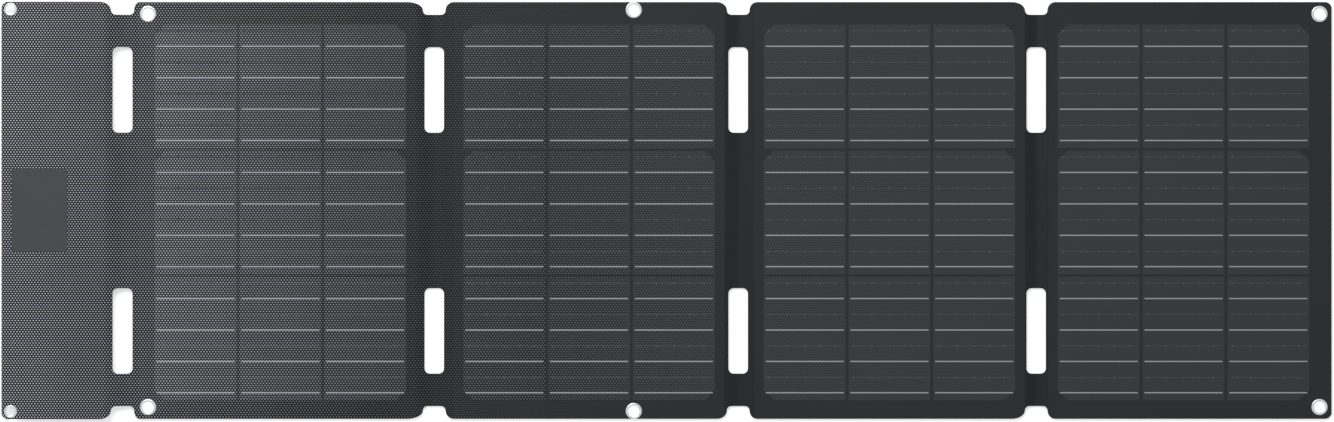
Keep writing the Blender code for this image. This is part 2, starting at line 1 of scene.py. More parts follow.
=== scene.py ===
"""A folding solar blanket, laid out flat: four stiff panels of cells and a controller flap on soft folds.

The sections follow the order in which the blanket is laid up: studio, back fabric, stiffener boards,
flat ribbons, front film, solar cells, busbars, eyelets, label patch, and the charge controller.
Metres, +Z up, +X along the blanket from the flap to the last panel.
"""

import json
import math

import bmesh
import bpy
from mathutils import Matrix, Vector


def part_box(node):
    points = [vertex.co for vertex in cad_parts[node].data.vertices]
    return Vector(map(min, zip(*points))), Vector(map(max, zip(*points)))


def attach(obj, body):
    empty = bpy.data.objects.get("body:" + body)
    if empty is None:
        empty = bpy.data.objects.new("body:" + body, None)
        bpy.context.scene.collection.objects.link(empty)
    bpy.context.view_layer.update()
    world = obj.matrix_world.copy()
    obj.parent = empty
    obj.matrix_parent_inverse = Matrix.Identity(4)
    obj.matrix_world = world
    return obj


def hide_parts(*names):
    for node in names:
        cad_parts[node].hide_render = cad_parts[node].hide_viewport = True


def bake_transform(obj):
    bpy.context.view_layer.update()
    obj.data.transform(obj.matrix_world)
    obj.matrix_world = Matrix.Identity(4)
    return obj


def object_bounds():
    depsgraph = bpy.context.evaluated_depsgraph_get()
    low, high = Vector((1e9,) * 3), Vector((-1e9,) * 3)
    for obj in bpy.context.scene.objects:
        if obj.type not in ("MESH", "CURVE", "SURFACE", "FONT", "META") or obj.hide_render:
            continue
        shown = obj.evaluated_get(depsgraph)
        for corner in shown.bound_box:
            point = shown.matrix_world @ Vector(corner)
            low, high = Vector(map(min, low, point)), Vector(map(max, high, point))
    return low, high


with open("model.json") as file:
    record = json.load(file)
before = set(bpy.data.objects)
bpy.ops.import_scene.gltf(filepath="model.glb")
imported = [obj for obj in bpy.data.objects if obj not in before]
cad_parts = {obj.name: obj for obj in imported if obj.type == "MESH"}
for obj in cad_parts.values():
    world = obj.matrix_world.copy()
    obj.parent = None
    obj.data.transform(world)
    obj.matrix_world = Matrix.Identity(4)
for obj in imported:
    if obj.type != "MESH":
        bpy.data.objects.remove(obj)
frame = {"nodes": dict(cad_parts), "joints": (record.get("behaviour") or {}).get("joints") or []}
cad_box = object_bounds()


# ---- studio ----
# A white table top that glows a little, as over a light box, under an even pale sky. One large soft
# lamp hangs high past the long edge, and the camera looks straight down through a long lens.

VIEW_WIDTH = 0.9631
VIEW_CENTRE = (0.0, -0.0004)
LENS = 200.0
SENSOR = 36.0
LAMP_PLACE = (-0.60, 1.25, 2.20)
LAMP_AIM = (-0.10, 0.0, 0.0)
LAMP_SIZE = 1.0
LAMP_WATTS = 31.0
SKY = (0.96, 0.98, 1.0)
SKY_STRENGTH = 0.5
TABLE = (0.86, 0.86, 0.86)
TABLE_GLOW = 0.50
TABLE_REACH = 12.0
TABLE_DROP = 0.0002
TABLE_CLOUDS = 0.01

scene = bpy.context.scene
scene.view_settings.view_transform = "Standard"
camera = bpy.data.objects.new("camera", bpy.data.cameras.new("camera"))
camera.data.lens = LENS
camera.data.sensor_width = SENSOR
camera.data.clip_end = 100.0
film_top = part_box("panel_1_film")[1].z
camera.location = (*VIEW_CENTRE, film_top + VIEW_WIDTH * LENS / SENSOR)
scene.collection.objects.link(camera)
scene.camera = camera

lamp = bpy.data.objects.new("soft_lamp", bpy.data.lights.new("soft_lamp", "AREA"))
lamp.data.shape = "SQUARE"
lamp.data.size = LAMP_SIZE
lamp.data.energy = LAMP_WATTS
lamp.location = LAMP_PLACE
lamp.rotation_euler = (Vector(LAMP_AIM) - Vector(LAMP_PLACE)).to_track_quat("-Z", "Y").to_euler()
scene.collection.objects.link(lamp)

world = bpy.data.worlds.new("pale_sky")
world.use_nodes = True
world.node_tree.nodes["Background"].inputs["Color"].default_value = (*SKY, 1.0)
world.node_tree.nodes["Background"].inputs["Strength"].default_value = SKY_STRENGTH
scene.world = world


class Signal:
    """A socket in a finish's node tree. Sums and products of signals add their Math nodes."""

    def __init__(self, tree, socket=None):
        self.tree = tree
        self.socket = socket

    def make(self, kind, settings, inputs, output=0):
        """Any node: first its settings, then the value or the signal for each socket."""
        node = self.tree.nodes.new(kind)
        for name, value in settings.items():
            setattr(node, name, value)
        for key, value in inputs.items():
            if isinstance(value, Signal):
                self.tree.links.new(value.socket, node.inputs[key])
            else:
                node.inputs[key].default_value = value
        return Signal(self.tree, node.outputs[output])

    def math(self, operation, *values):
        return self.make("ShaderNodeMath", {"operation": operation}, dict(enumerate(values)))

    def __add__(self, other):
        return self.math("ADD", self, other)

    def __radd__(self, other):
        return self.math("ADD", other, self)

    def __sub__(self, other):
        return self.math("SUBTRACT", self, other)

    def __rsub__(self, other):
        return self.math("SUBTRACT", other, self)

    def __mul__(self, other):
        return self.math("MULTIPLY", self, other)

    def __rmul__(self, other):
        return self.math("MULTIPLY", other, self)

    def __truediv__(self, other):
        return self.math("DIVIDE", self, other)

    def least(self, other):
        """The smaller of the two."""
        return self.math("MINIMUM", self, other)

    def most(self, other):
        """The larger of the two."""
        return self.math("MAXIMUM", self, other)

    def exponent(self):
        """e to the power of this."""
        return self.math("EXPONENT", self)

    def to_nearest(self):
        """How far this is from the nearest whole number."""
        return self.math("PINGPONG", self, 0.5)

    def ease(self, low, high):
        """0 below low and 1 above high, with a soft passage between them."""
        return self.make(
            "ShaderNodeMapRange",
            {"interpolation_type": "SMOOTHSTEP"},
            {"Value": self, "From Min": low, "From Max": high},
        )

    def mix(self, first, second):
        """A colour between two: the first where this is 0, and the second where it is 1."""
        return self.make(
            "ShaderNodeMix",
            {"data_type": "RGBA"},
            {0: self, 6: opaque(first), 7: opaque(second)},
            output=2,
        )

    def noise(self, scale, detail=2.0):
        """A soft random field, about 0.5, over this place."""
        return self.make("ShaderNodeTexNoise", {}, {"Vector": self, "Scale": scale, "Detail": detail})


def opaque(colour):
    return colour if isinstance(colour, Signal) else (*colour, 1.0)


class Finish:
    """A material round one Principled shader, with the place on the piece as x, y and z signals."""

    def __init__(self, name, **constants):
        self.material = bpy.data.materials.new(name)
        self.material.use_nodes = True
        self.tree = self.material.node_tree
        self.shader = self.tree.nodes["Principled BSDF"]
        for socket, value in constants.items():
            self.shader.inputs[socket.replace("_", " ")].default_value = value
        start = Signal(self.tree)
        self.place = start.make("ShaderNodeTexCoord", {}, {}, output=3)
        self.x = start.make("ShaderNodeSeparateXYZ", {}, {0: self.place}, output=0)
        self.y = start.make("ShaderNodeSeparateXYZ", {}, {0: self.place}, output=1)
        self.z = start.make("ShaderNodeSeparateXYZ", {}, {0: self.place}, output=2)

    def feed(self, socket, signal):
        self.tree.links.new(signal.socket, self.shader.inputs[socket])

    def emboss(self, height, distance, strength=1.0):
        """Relief from a height signal, which is 1 at this distance in metres."""
        relief = {"Height": height, "Distance": distance, "Strength": strength}
        self.feed("Normal", height.make("ShaderNodeBump", {}, relief))


table_top = Finish("table_white", Roughness=0.9, Specular_IOR_Level=0.1)
table_grain = table_top.place.noise(3.0)
table_top.feed("Base Color", table_grain.mix(TABLE, [value + TABLE_CLOUDS for value in TABLE]))
table_top.shader.inputs["Emission Color"].default_value = (1.0, 1.0, 1.0, 1.0)
table_top.shader.inputs["Emission Strength"].default_value = TABLE_GLOW
mesh = bmesh.new()
bmesh.ops.create_grid(mesh, x_segments=1, y_segments=1, size=TABLE_REACH)
bmesh.ops.translate(mesh, verts=mesh.verts, vec=(0.0, 0.0, -TABLE_DROP))
data = bpy.data.meshes.new("table")
mesh.to_mesh(data)
table = bpy.data.objects.new("table", data)
data.materials.append(table_top.material)
scene.collection.objects.link(table)


# ---- back fabric ----
# Coated black polyester in a plain weave, cut to the blanket's outline. It runs the whole length on
# the real blanket; here one sheet ends and the next starts where each stiff board ends.

FOLD_NAMES = ("flap_fold", "fold_1_2", "fold_2_3", "fold_3_4")
SHOULDERS = ((0.0079, 0.0038), (0.0111, 0.0062), (0.0070, 0.0055), (0.0092, 0.0055))
NOTCH_HALF = 0.0082
NOTCH_DEPTH = 0.0092
NOTCH_FILLET = 0.0032
END_RADIUS = 0.0048
ARC_STEPS = 8
SLOT_SIZE = (0.0141, 0.0617)
SLOT_CENTRE = 0.0870
SLOT_RADIUS = 0.0038
SLICES = 48
YARN_PITCH = 0.00042
YARN_RELIEF = 0.00006
FABRIC_BLACK = (0.012, 0.0125, 0.014)
FABRIC_GREY = (0.030, 0.031, 0.034)
FLANGE_CLEARANCE = 0.0003
PUNCH_STEPS = 48
PUNCH_DEPTH = 0.02
YARN_ROUND = 3.2
WELD = 1e-6
ON_SEAM = 1e-5

low_corner, high_corner = cad_box
left_end, right_end = low_corner.x, high_corner.x
upper_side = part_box("panel_1_fabric")[1].y
joints = {joint["name"]: joint for joint in frame["joints"]}
folds = [joints[name]["pos_m"][0] for name in FOLD_NAMES]
fabric_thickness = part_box("panel_1_fabric")[1].z
film_thickness = film_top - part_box("panel_1_film")[0].z
stretches = {name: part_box(f"{name}_fabric") for name in ("flap", "panel_1", "panel_2", "panel_3", "panel_4")}


def arc(centre, across, up, start, end):
    """Points on a quarter of an ellipse between two angles in degrees."""
    angles = [math.radians(start + (end - start) * n / ARC_STEPS) for n in range(ARC_STEPS + 1)]
    return [(centre[0] + across * math.cos(a), centre[1] + up * math.sin(a)) for a in angles]


def upper_edge():
    """The blanket's upper edge from left to right: round ends, and a notch at each fold."""
    floor = upper_side - NOTCH_DEPTH
    fillet = NOTCH_FILLET
    fall = NOTCH_DEPTH - fillet
    points = arc((left_end + END_RADIUS, upper_side - END_RADIUS), END_RADIUS, END_RADIUS, 180, 90)
    for fold, (before, after) in zip(folds, SHOULDERS):
        left, right = fold - NOTCH_HALF, fold + NOTCH_HALF
        points += arc((left - before, floor + fillet), before, fall, 90, 0)
        points += arc((left + fillet, floor + fillet), fillet, fillet, 180, 270)[1:]
        points += arc((right - fillet, floor + fillet), fillet, fillet, 270, 360)
        points += arc((right + after, floor + fillet), after, fall, 180, 90)[1:]
    points += arc((right_end - END_RADIUS, upper_side - END_RADIUS), END_RADIUS, END_RADIUS, 90, 0)
    return points


def edge_at(points, x):
    for (x0, y0), (x1, y1) in zip(points, points[1:]):
        if x0 <= x <= x1 and x1 > x0:
            return y0 + (y1 - y0) * (x - x0) / (x1 - x0)
    return points[0][1] if x < points[0][0] else points[-1][1]


def outline(start, end):
    """The blanket's outline between two places along it, anticlockwise."""
    edge = upper_edge()
    inside = [(x, y) for x, y in edge if start + ON_SEAM < x < end - ON_SEAM]
    upper = [(start, edge_at(edge, start)), *inside, (end, edge_at(edge, end))]
    if start <= left_end:
        upper = upper[1:]
    if end >= right_end:
        upper = upper[:-1]
    return [(x, -y) for x, y in upper] + upper[::-1]


def slot_loop(fold, side):
    """A lashing slot's outline: a long rectangle with round corners."""
    x, y = SLOT_SIZE[0] / 2 - SLOT_RADIUS, SLOT_SIZE[1] / 2 - SLOT_RADIUS
    points = []
    for turn, (sx, sy) in enumerate(((1, 1), (-1, 1), (-1, -1), (1, -1))):
        centre = (fold + sx * x, side * SLOT_CENTRE + sy * y)
        points += arc(centre, SLOT_RADIUS, SLOT_RADIUS, 90 * turn, 90 * turn + 90)
    return points


def sheet_mesh(border, holes, cuts=()):
    """A flat sheet at height 0 with holes in it, sliced across at each place along it in cuts."""
    mesh = bmesh.new()
    edges = []
    for loop in (border, *holes):
        verts = [mesh.verts.new((x, y, 0.0)) for x, y in loop]
        edges += [mesh.edges.new(pair) for pair in zip(verts, verts[1:] + verts[:1])]
    bmesh.ops.triangle_fill(mesh, use_beauty=True, use_dissolve=False, edges=edges, normal=(0, 0, 1))
    for place in cuts:
        bmesh.ops.bisect_plane(
            mesh,
            geom=[*mesh.verts, *mesh.edges, *mesh.faces],
            dist=WELD,
            plane_co=(place, 0, 0),
            plane_no=(1, 0, 0),
        )
    bmesh.ops.recalc_face_normals(mesh, faces=mesh.faces)
    if sum(face.normal.z for face in mesh.faces) < 0:
        bmesh.ops.reverse_faces(mesh, faces=mesh.faces)
    return mesh


def piece(name, mesh, finish, smooth=None):
    """The finished piece at the origin, with its place in its mesh. Smooth is an angle in degrees."""
    data = bpy.data.meshes.new(name)
    mesh.to_mesh(data)
    mesh.free()
    made = bpy.data.objects.new(name, data)
    data.materials.append(finish.material)
    scene.collection.objects.link(made)
    if smooth is not None:
        data.shade_smooth()
        data.set_sharp_from_angle(angle=math.radians(smooth))
    return made


def thicken(made, thickness):
    """Gives a sheet its thickness below the face that is modelled."""
    change = made.modifiers.new("thickness", "SOLIDIFY")
    change.thickness = thickness
    change.offset = -1.0
    change.use_even_offset = False


def settle(made):
    """Applies a piece's modifiers, so that its mesh is final."""
    shown = made.evaluated_get(bpy.context.evaluated_depsgraph_get())
    final = bpy.data.meshes.new_from_object(shown)
    made.modifiers.clear()
    made.data = final


def even_cuts(start, end):
    return [start + (end - start) * n / SLICES for n in range(1, SLICES)]


def soft_step(share):
    share = min(1.0, max(0.0, share))
    return share * share * (3 - 2 * share)


eyelets = {}
for key in ("flap_eyelet", "first_eyelet", "middle_eyelet", "last_eyelet"):
    for side in ("top", "bottom"):
        eyelet_low, eyelet_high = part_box(f"{key}_{side}")
        eyelet_middle = (eyelet_low + eyelet_high) / 2
        eyelets[f"{key}_{side}"] = (eyelet_middle, (eyelet_high.x - eyelet_low.x) / 2)
holders = {
    "flap": "flap_eyelet",
    "panel_1": "first_eyelet",
    "panel_2": "middle_eyelet",
    "panel_4": "last_eyelet",
}


def punch_eyelets(made, stretch, trim):
    """Cuts a stretch's two eyelet holes, this much wider than the flanges, and makes its mesh final."""
    if stretch not in holders:
        settle(made)
        return
    mesh = bmesh.new()
    for side in ("top", "bottom"):
        middle, radius = eyelets[f"{holders[stretch]}_{side}"]
        bmesh.ops.create_cone(
            mesh,
            cap_ends=True,
            segments=PUNCH_STEPS,
            radius1=radius + trim,
            radius2=radius + trim,
            depth=PUNCH_DEPTH,
            matrix=Matrix.Translation(middle),
        )
    punch = piece("punch", mesh, woven)
    change = made.modifiers.new("holes", "BOOLEAN")
    change.operation = "DIFFERENCE"
    change.solver = "EXACT"
    change.object = punch
    settle(made)
    bpy.data.objects.remove(punch)


woven = Finish("woven_polyester", Roughness=0.82, Specular_IOR_Level=0.3)
warp = (woven.x / YARN_PITCH).to_nearest()
weft = (woven.y / YARN_PITCH).to_nearest()
over = ((woven.x + woven.y) / (2 * YARN_PITCH)).to_nearest().ease(0.15, 0.35)
warp_yarn = 1.0 - YARN_ROUND * warp * warp
weft_yarn = 1.0 - YARN_ROUND * weft * weft
yarn_height = warp_yarn * over + weft_yarn * (1.0 - over)
coating = woven.place.noise(90.0, 4.0).ease(0.35, 0.75)
# The colour follows the weave's relief: painted highlight on the yarns' crowns and painted shade in the
# hollows between them, over a random coating tone.
woven.feed("Base Color", (yarn_height * 0.7 + coating * 0.3).mix(FABRIC_BLACK, FABRIC_GREY))
woven.feed("Roughness", 0.72 + 0.16 * coating)
woven.emboss(yarn_height, YARN_RELIEF)

for name, (start, end) in stretches.items():
    mesh = sheet_mesh(outline(start.x, end.x), [])
    bmesh.ops.translate(mesh, verts=mesh.verts, vec=(0, 0, end.z))
    backing = piece(f"{name}_back", mesh, woven)
    thicken(backing, fabric_thickness)
    punch_eyelets(backing, name, FLANGE_CLEARANCE)
    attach(backing, name)
    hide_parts(f"{name}_fabric")

fold_bodies = {
    "flap_fold": ("flap", "panel_1"),
    "fold_1_2": ("panel_1", "panel_2"),
    "fold_2_3": ("panel_2", "panel_3"),
    "fold_3_4": ("panel_3", "panel_4"),
}
fold_spans = {}
for name, (before, after) in fold_bodies.items():
    fold_spans[name] = (stretches[before][1].x, stretches[after][0].x)


def fold_base(name, x):
    """The height of a fold's underside: level, but for the slope down from the propped flap."""
    start, end = fold_spans[name]
    first, second = (stretches[body][0].z for body in fold_bodies[name])
    share = (x - start) / (end - start)
    return first + (second - first) * (share + soft_step(share)) / 2


def bend(made):
    """Bakes a fold piece's placement into its mesh."""
    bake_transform(made)


for fold, name in zip(folds, FOLD_NAMES):
    start, end = fold_spans[name]
    mesh = sheet_mesh(outline(start, end), [slot_loop(fold, 1), slot_loop(fold, -1)], even_cuts(start, end))
    for vert in mesh.verts:
        vert.co.z = fold_base(name, vert.co.x) + fabric_thickness
    backing = piece(f"{name}_back", mesh, woven)
    thicken(backing, fabric_thickness)
    settle(backing)
    bend(backing)
    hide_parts(f"{name}_fabric")


# ---- stiffener boards ----
# Pale glass-fibre laminate, 1.2 mm thick, glued on the back fabric under each stretch of cells and in
# the flap. The cut edge shows the layers of glass cloth.

CLOTH_PITCH = 0.0011
PLY_THICKNESS = 0.0002
CLOTH_RELIEF = 0.00002
LAMINATE_PALE = (0.56, 0.55, 0.47)
LAMINATE_DARK = (0.42, 0.43, 0.34)

laminate = Finish("glass_laminate", Roughness=0.55, Specular_IOR_Level=0.4)
strand = (laminate.x / CLOTH_PITCH).to_nearest() + (laminate.y / CLOTH_PITCH).to_nearest()
ply = (laminate.z / PLY_THICKNESS).to_nearest()
blotch = laminate.place.noise(60.0)
laminate.feed("Base Color", (strand * 0.6 + blotch * 0.4 + ply * 0.2).mix(LAMINATE_PALE, LAMINATE_DARK))
laminate.emboss(strand, CLOTH_RELIEF)
for name in stretches:
    board = frame["nodes"][f"{name}_board"]
    board.data.materials.clear()
    board.data.materials.append(laminate.material)


# ---- flat ribbons ----
# Tinned copper foil, 12 mm wide, which carries the current from board to board through the middle of
# each fold. It lies loose between the fabric and the film, and bends with them.

RIBBON_RISE = 0.00008
FOIL = 0.0002
TIN_LIGHT = (0.66, 0.66, 0.65)
TIN_DARK = (0.50, 0.50, 0.50)

tinned = Finish("tinned_copper", Metallic=0.9, Roughness=0.4)
tinned.feed("Base Color", tinned.place.noise(400.0).mix(TIN_DARK, TIN_LIGHT))
tinned.feed("Roughness", 0.3 + 0.2 * tinned.place.noise(900.0))
for name in FOLD_NAMES:
    start, end = fold_spans[name]
    box_low, box_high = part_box(f"{name}_ribbon")
    sides = [(start, box_low.y), (end, box_low.y), (end, box_high.y), (start, box_high.y)]
    mesh = sheet_mesh(sides, [], even_cuts(start, end))
    for vert in mesh.verts:
        vert.co.z = fold_base(name, vert.co.x) + fabric_thickness + RIBBON_RISE + FOIL
    ribbon = piece(f"{name}_conductor", mesh, tinned)
    thicken(ribbon, FOIL)
    settle(ribbon)
    bend(ribbon)
    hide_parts(f"{name}_ribbon")


# ---- front film ----
# Clear fluoropolymer film over black, embossed with a lattice of small oval domes. It is pulled down
# over the boards' edges and welded to the fabric all round, and it lies flat on the fabric in the folds.

DOME_PITCH = 0.00215
DOME_ROWS = 0.00162
DOME_HALF = (0.00078, 0.00062)
DOME_RELIEF = 0.00011
CROWN_RIM = (0.75, 0.15)
# Painted highlight: the domes' crowns are lightened towards this glint colour, most at the flap's end towards
# the lamp, fading out along the blanket.
GLINT_INSET = 0.010
PAINTED_GLINT = (0.665, 0.695, 0.765)
FILM_GLINT = {"strength": 1.0, "reach": 0.26, "worn": 0.20}
CELL_GLINT = {"strength": 1.40, "reach": 0.21, "worn": 0.03}
FILM_BLACK = (0.0230, 0.0247, 0.0270)
FOLD_BLACK = (0.0155, 0.0170, 0.0190)
FILM_SHEEN = 0.2
# Painted shade: the valleys between the domes take these factors on their colour where the painted highlight
# is strong.
FILM_VALLEY = 0.06
VALLEY_SHADE_ONSET = 5.0
RIM_RADIUS = 0.0009
FLANGE_OVERLAP = 0.0006
FOLD_FILM_HEIGHT = 0.00165
SLOT_MARGIN = 0.001
END_MARGIN = 1e-4
UPRIGHT = 0.5


def oval(across, up):
    """The squared distance from a dome's middle, which is 1 on its rim."""
    across = across * (DOME_PITCH / DOME_HALF[0])
    up = up * (2 * DOME_ROWS / DOME_HALF[1])
    return across * across + up * up


def painted_glint_strength(made, strength, reach, worn):
    """How strong the painted highlight on the domes is: most at the flap's end, towards the lamp, and fading
    out further along.
    """
    along = (made.x - (left_end + GLINT_INSET)) / reach
    left_over = ((0.0 - along).exponent() - worn).most(0.0)
    return (left_over * (strength / (1 - worn))).least(1.0)


def embossed(name, colour, valley_shade, glint_curve):
    """The film's finish over a given colour: domes with painted highlights on their crowns, and painted shade
    in the valleys between them.
    """
    made = Finish(name, Specular_IOR_Level=FILM_SHEEN)
    across = (made.x / DOME_PITCH).to_nearest()
    up = (made.y / (2 * DOME_ROWS)).to_nearest()
    near = oval(across, up).least(oval(0.5 - across, 0.5 - up))
    dome = (1.0 - near).most(0.0)
    crown = near.ease(*CROWN_RIM)
    glint = painted_glint_strength(made, **glint_curve)
    haze_and_glint = made.place.noise(35.0, 3.0)
    # Painted shade in the valleys between the domes: their colour is scaled by valley_shade where the painted
    # highlight is strong.
    shaded_valley_tone = (glint * VALLEY_SHADE_ONSET).least(1.0).mix(colour, [value * valley_shade for value in colour])
    # Painted highlight: the crowns of the domes are lightened towards the glint colour, with random patches.
    glint_tone = (glint * (0.85 + 0.3 * haze_and_glint)).mix(colour, PAINTED_GLINT)
    made.feed("Base Color", crown.mix(shaded_valley_tone, glint_tone))
    made.feed("Roughness", 0.32 + 0.1 * crown + 0.08 * haze_and_glint)
    made.emboss(dome * (0.15 + 0.85 * glint), DOME_RELIEF)
    return made


# Painted highlights on the domes' crowns and painted shade between them, on the film of the stretches and of
# the folds.
clear_film = embossed("embossed_film", FILM_BLACK, FILM_VALLEY, FILM_GLINT)
fold_film = embossed("embossed_film_in_folds", FOLD_BLACK, FILM_VALLEY, FILM_GLINT)
rim_film = Finish("film_on_the_rim", Specular_IOR_Level=FILM_SHEEN)
rim_film.feed("Base Color", rim_film.place.noise(300.0).mix(FOLD_BLACK, FILM_BLACK))
rim_film.feed("Roughness", 0.35 + 0.1 * rim_film.place.noise(900.0))


def plain_rim(made):
    """Gives the upright faces the film without domes, which are drawn flat where it turns down."""
    made.data.materials.append(rim_film.material)
    for side in made.data.polygons:
        if abs(side.normal.z) < UPRIGHT:
            side.material_index = 1


def is_rim(edge, start, end):
    """An edge of the outline itself, and not of a seam to the next stretch or of a hole."""
    if not edge.is_boundary:
        return False
    for seam in (start, end):
        at_end = seam <= left_end + END_MARGIN or seam >= right_end - END_MARGIN
        if not at_end and all(abs(vert.co.x - seam) < ON_SEAM for vert in edge.verts):
            return False
    return True


for name, (start, end) in stretches.items():
    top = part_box(f"{name}_film")[1].z
    mesh = bmesh.new()
    face = mesh.faces.new([mesh.verts.new((x, y, top)) for x, y in outline(start.x, end.x)])
    rim = [edge for edge in mesh.edges if is_rim(edge, start.x, end.x)]
    skirt = bmesh.ops.extrude_edge_only(mesh, edges=rim)["geom"]
    hem = [item for item in skirt if isinstance(item, bmesh.types.BMVert)]
    for vert in hem:
        vert.co.z = end.z
    bmesh.ops.recalc_face_normals(mesh, faces=mesh.faces)
    crest = [edge for edge in mesh.edges if len(edge.link_faces) == 2 and face in edge.link_faces]
    bmesh.ops.bevel(
        mesh,
        geom=crest,
        offset=RIM_RADIUS,
        segments=3,
        profile=0.5,
        affect="EDGES",
        material=-1,
        clamp_overlap=False,
    )
    largest = max(mesh.faces, key=lambda side: side.calc_area())
    if largest.normal.z < 0:
        bmesh.ops.reverse_faces(mesh, faces=mesh.faces)
    film = piece(f"{name}_front", mesh, clear_film)
    plain_rim(film)
    thicken(film, film_thickness)
    punch_eyelets(film, name, -FLANGE_OVERLAP)
    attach(film, name)
    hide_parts(f"{name}_film")

for fold, name in zip(folds, FOLD_NAMES):
    start, end = fold_spans[name]
    heights = [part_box(f"{body}_film")[1].z - stretches[body][0].z for body in fold_bodies[name]]
    half_span = (end - start) / 2
    mesh = sheet_mesh(outline(start, end), [slot_loop(fold, 1), slot_loop(fold, -1)], even_cuts(start, end))
    for vert in mesh.verts:
        x = vert.co.x
        first = (heights[0] - FOLD_FILM_HEIGHT) * (1 - soft_step((x - start) / half_span))
        second = (heights[1] - FOLD_FILM_HEIGHT) * (1 - soft_step((end - x) / half_span))
        vert.co.z = fold_base(name, x) + FOLD_FILM_HEIGHT + max(first, second)
    past_slots = SLOT_CENTRE + SLOT_SIZE[1] / 2 + SLOT_MARGIN
    rim = [edge for edge in mesh.edges if is_rim(edge, start, end)]
    rim = [edge for edge in rim if abs(edge.verts[0].co.y) > past_slots]
    skirt = bmesh.ops.extrude_edge_only(mesh, edges=rim)["geom"]
    for vert in (item for item in skirt if isinstance(item, bmesh.types.BMVert)):
        vert.co.z = fold_base(name, vert.co.x) + fabric_thickness
    bmesh.ops.recalc_face_normals(mesh, faces=mesh.faces)
    if sum(face.normal.z for face in mesh.faces) < 0:
        bmesh.ops.reverse_faces(mesh, faces=mesh.faces)
    film = piece(f"{name}_front", mesh, fold_film)
    plain_rim(film)
    thicken(film, film_thickness)
    settle(film)
    bend(film)
    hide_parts(f"{name}_film")


# ---- solar cells ----
# Each half wafer is cut in three. The cells lie in three rows to a panel with their cut corners out,
# and they press the film up a little, so that each shows as a faint plateau with the same domes on it.

CELL_CHAMFER = 0.0075
CELL_STANDS = 0.00010
CELL_DEPTH = 0.00030
CELL_GAP = 0.0020
CELL_EDGE = 0.00006
COLUMNS = 3
CELL_GREY = (0.0400, 0.0416, 0.0448)
CELL_VALLEY = 0.30
ROW_NAMES = ("bottom", "middle", "top")

# Painted highlights on the domes over the cells, and painted shade in the valleys between them.
silicon = embossed("film_over_silicon", CELL_GREY, CELL_VALLEY, CELL_GLINT)


def cell_outline(left, right, low, high, column, chamfer_top):
    """One third of a half wafer, anticlockwise. A row's outer cells keep a cut corner of the wafer."""
    points = []
    for x, y in ((left, low), (right, low), (right, high), (left, high)):
        outer = column == 0 if x == left else column == COLUMNS - 1
        if outer and (y == high) == chamfer_top:
            into_x = CELL_CHAMFER if x == left else -CELL_CHAMFER
            into_y = CELL_CHAMFER if y == low else -CELL_CHAMFER
            cut = [(x, y + into_y), (x + into_x, y)]
            points += cut if (x == left) == (y == low) else cut[::-1]
        else:
            points.append((x, y))
    return points


def add_plate(mesh, points, low, high, rounding=0.0):
    """A thin plate on an anticlockwise outline, with its upper edge rounded over."""
    face = mesh.faces.new([mesh.verts.new((x, y, low)) for x, y in points])
    face.normal_update()
    grown = bmesh.ops.extrude_face_region(mesh, geom=[face])["geom"]
    raised = [item for item in grown if isinstance(item, bmesh.types.BMVert)]
    bmesh.ops.translate(mesh, verts=raised, vec=(0, 0, high - low))
    if rounding > 0:
        upper = [item for item in grown if isinstance(item, bmesh.types.BMEdge)]
        bmesh.ops.bevel(
            mesh,
            geom=upper,
            offset=rounding,
            segments=2,
            profile=0.5,
            affect="EDGES",
            material=-1,
        )


rows = {}
for number in range(1, 5):
    for row, row_name in enumerate(ROW_NAMES):
        node = f"panel_{number}_cells_{row_name}"
        row_low, row_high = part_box(node)
        cell_length = (row_high.x - row_low.x - (COLUMNS - 1) * CELL_GAP) / COLUMNS
        starts = [row_low.x + column * (cell_length + CELL_GAP) for column in range(COLUMNS)]
        rows[(number, row)] = (starts, cell_length, row_high.y)
        mesh = bmesh.new()
        for column, left in enumerate(starts):
            points = cell_outline(left, left + cell_length, row_low.y, row_high.y, column, row > 0)
            upper_level = film_top + CELL_STANDS
            add_plate(mesh, points, upper_level - CELL_DEPTH, upper_level, CELL_EDGE)
        bmesh.ops.recalc_face_normals(mesh, faces=mesh.faces)
        cells = piece(f"panel_{number}_silicon_{row_name}", mesh, silicon)
        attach(cells, f"panel_{number}")
        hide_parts(node)


# ---- busbars ----
# Four tinned interconnect wires cross each cell from gap to gap. Halfway between them runs a fine
# printed silver line with five solder pads, which is left unused on these narrow cells.

WIRES = (0.0158, 0.0385, 0.0612, 0.0838)
WIRE_LENGTH = 0.0563
WIRE_WIDTH = 0.00085
PRINTS = (0.0046, 0.0272, 0.0500, 0.0729)
PRINT_WIDTH = 0.00035
PADS = (0.0024, 0.0155, 0.0282, 0.0392, 0.0498)
PAD_HALF = 0.0006
WIRE_HEIGHT = 0.00008
PRINT_HEIGHT = 0.00003
WIRE_GREY = (0.350, 0.355, 0.372)
WIRE_VALLEY = 1.10
PRINT_GREY = (0.058, 0.060, 0.063)
PAD_GREY = (0.085, 0.087, 0.092)

# Painted highlights on the domes over the wires, with the valleys between them lightened a little where the
# highlights are.
wire_tin = embossed("film_over_wire", WIRE_GREY, WIRE_VALLEY, CELL_GLINT)
silver_print = Finish("printed_silver", Roughness=0.5, Specular_IOR_Level=0.3)
silver_print.feed("Base Color", silver_print.place.noise(700.0).mix(PRINT_GREY, PAD_GREY))


def add_strip(mesh, left, right, middle, width, base, height):
    points = [
        (left, middle - width / 2),
        (right, middle - width / 2),
        (right, middle + width / 2),
        (left, middle + width / 2),
    ]
    add_plate(mesh, points, base, base + height)


